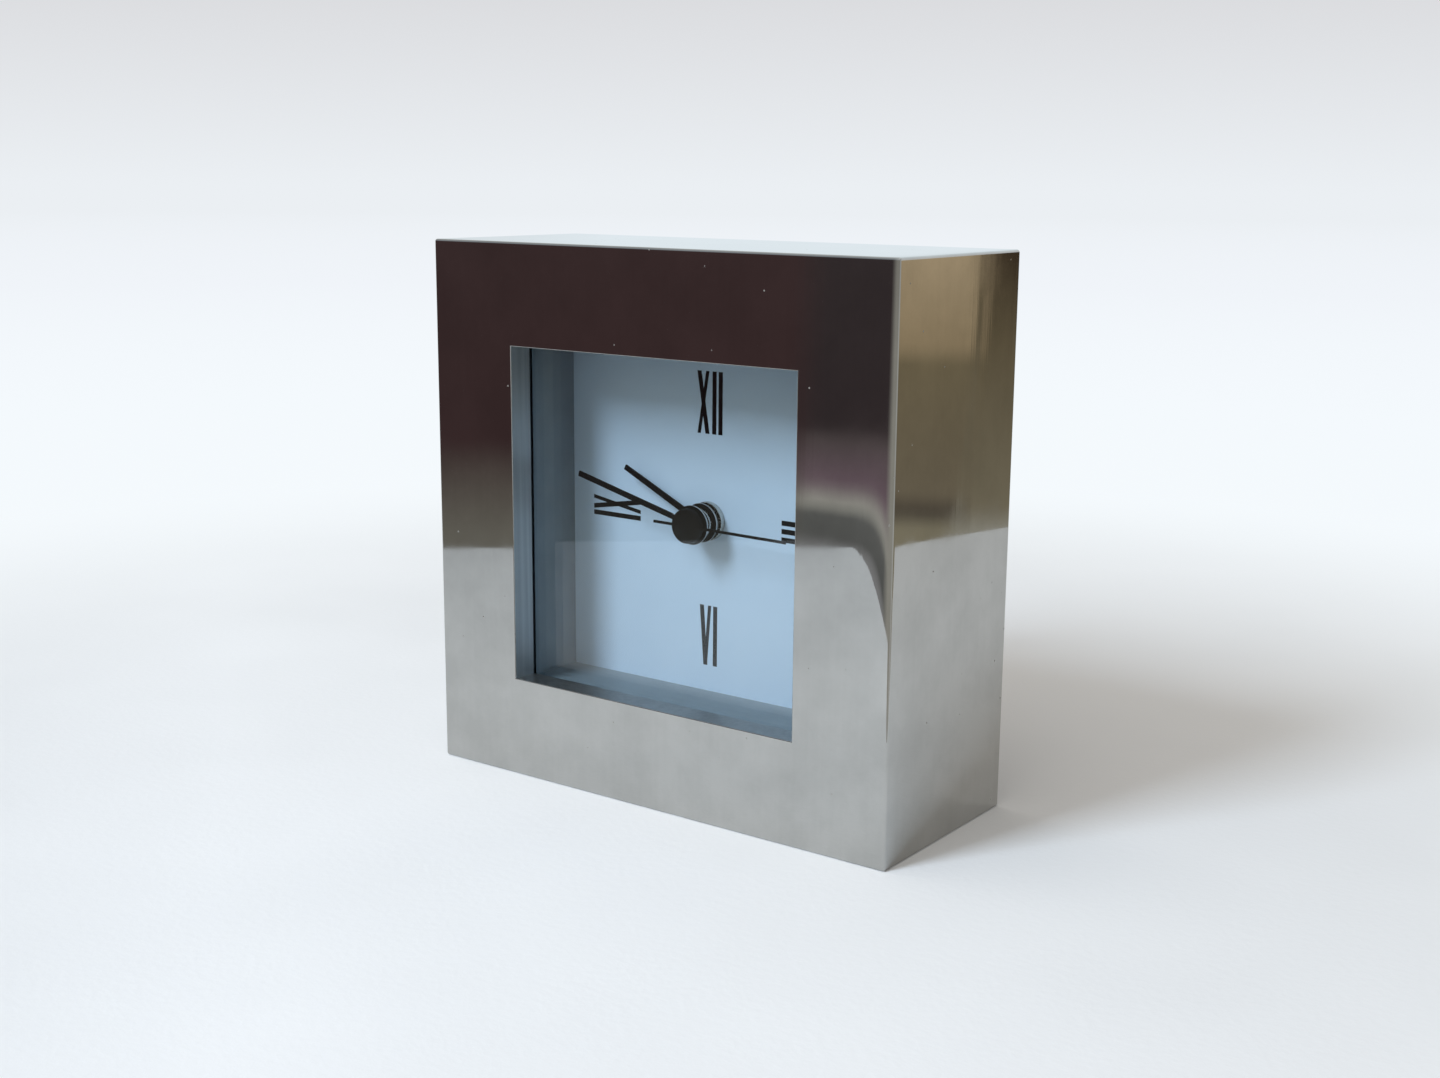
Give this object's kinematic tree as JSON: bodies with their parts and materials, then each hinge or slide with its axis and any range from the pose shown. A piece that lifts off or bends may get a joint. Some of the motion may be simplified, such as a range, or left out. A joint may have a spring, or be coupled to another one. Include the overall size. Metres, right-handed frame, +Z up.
{
  "type": "desk clock",
  "caption": "Square free-standing desk clock: polished metal case, deep-set dial behind a flat pane, baton hands, and a battery quartz movement with its gear train.",
  "frame": {"origin": "middle of the case's underside", "axes": "+Z up, the dial faces -Y, +X to the viewer's right; the hands turn about +Y"},
  "size_m": [0.1, 0.04, 0.1],
  "materials": {
    "polished_metal": "polished",
    "seal_rubber": "matte",
    "pane_glass": "gloss",
    "spacer_grey": "satin",
    "dial_white": "matte",
    "nickel_fittings": "satin",
    "hand_black": "satin",
    "cap_black": "gloss",
    "housing_black": "satin",
    "cover_black": "matte",
    "wheel_acetal": "satin",
    "soft_iron": "satin",
    "magnet_grey": "matte",
    "bobbin_plastic": "satin",
    "copper_wire": "satin",
    "screw_steel": "satin",
    "board_laminate": "satin",
    "crystal_can": "satin",
    "chip_resin": "gloss",
    "contact_nickel": "satin",
    "cell_jacket": "gloss"
  },
  "bodies": {
    "clock": {"case_shell": "polished_metal", "glass_seal": "seal_rubber", "front_glass": "pane_glass", "spacer_frame": "spacer_grey", "dial_plate": "dial_white", "dial_washer": "seal_rubber", "centre_bush": "nickel_fittings", "centre_nut": "nickel_fittings", "movement_front": "housing_black", "movement_rear": "housing_black", "stator": "soft_iron", "coil_core": "soft_iron", "coil_bobbin": "bobbin_plastic", "coil_winding": "copper_wire", "stator_screws": "screw_steel", "circuit_board": "board_laminate", "quartz_crystal": "crystal_can", "chip_cap": "chip_resin", "positive_contact": "contact_nickel", "negative_contact": "contact_nickel", "aa_cell": "cell_jacket", "back_cover": "cover_black", "cover_screws": "screw_steel"},
    "rotor": {"rotor_arbor": "wheel_acetal", "rotor_magnet": "magnet_grey"},
    "intermediate": {"intermediate_wheel": "wheel_acetal"},
    "seconds": {"seconds_wheel": "wheel_acetal", "second_hand": "hand_black", "hand_cap": "cap_black"},
    "third": {"third_wheel": "wheel_acetal"},
    "centre": {"centre_wheel": "wheel_acetal"},
    "minutes": {"cannon_pinion": "wheel_acetal", "minute_hand": "hand_black"},
    "reverser": {"reverser_wheel": "wheel_acetal"},
    "hours": {"hour_wheel": "wheel_acetal", "hour_hand": "hand_black", "hour_collet": "nickel_fittings"},
    "knob": {"setting_knob": "housing_black"}
  },
  "joints": [
    {"name": "second_hand_turn", "type": "hinge", "parent": "clock", "child": "seconds", "pos_m": [0, -0.0075, 0.05], "axis": [0, 1, 0], "continuous": true},
    {"name": "rotor_turn", "type": "hinge", "parent": "clock", "child": "rotor", "pos_m": [-0.01559, 0.008, 0.05691], "axis": [0, 1, 0], "continuous": true},
    {"name": "intermediate_turn", "type": "hinge", "parent": "clock", "child": "intermediate", "pos_m": [-0.00883, 0.01, 0.0551], "axis": [0, 1, 0], "continuous": true},
    {"name": "third_turn", "type": "hinge", "parent": "clock", "child": "third", "pos_m": [0.00781, 0.0078, 0.05656], "axis": [0, 1, 0], "continuous": true},
    {"name": "centre_turn", "type": "hinge", "parent": "clock", "child": "centre", "pos_m": [0, 0.0061, 0.05], "axis": [0, 1, 0], "continuous": true},
    {"name": "minute_hand_turn", "type": "hinge", "parent": "clock", "child": "minutes", "pos_m": [0, -0.0058, 0.05], "axis": [0, 1, 0], "continuous": true},
    {"name": "reverser_turn", "type": "hinge", "parent": "clock", "child": "reverser", "pos_m": [-0.00752, 0.0045, 0.04726], "axis": [0, 1, 0], "continuous": true},
    {"name": "hour_hand_turn", "type": "hinge", "parent": "clock", "child": "hours", "pos_m": [0, -0.003, 0.05], "axis": [0, 1, 0], "continuous": true},
    {"name": "knob_turn", "type": "hinge", "parent": "clock", "child": "knob", "pos_m": [-0.01648, 0.0178, 0.04648], "axis": [0, 1, 0], "continuous": true}
  ],
  "couplings": [
    {"joint": "rotor_turn", "follows": "second_hand_turn", "ratio": 30},
    {"joint": "intermediate_turn", "follows": "second_hand_turn", "ratio": -5},
    {"joint": "third_turn", "follows": "second_hand_turn", "ratio": -0.13333},
    {"joint": "centre_turn", "follows": "second_hand_turn", "ratio": 0.016667},
    {"joint": "reverser_turn", "follows": "minute_hand_turn", "ratio": -0.33333},
    {"joint": "hour_hand_turn", "follows": "minute_hand_turn", "ratio": 0.083333},
    {"joint": "knob_turn", "follows": "minute_hand_turn", "ratio": 0.66667}
  ]
}
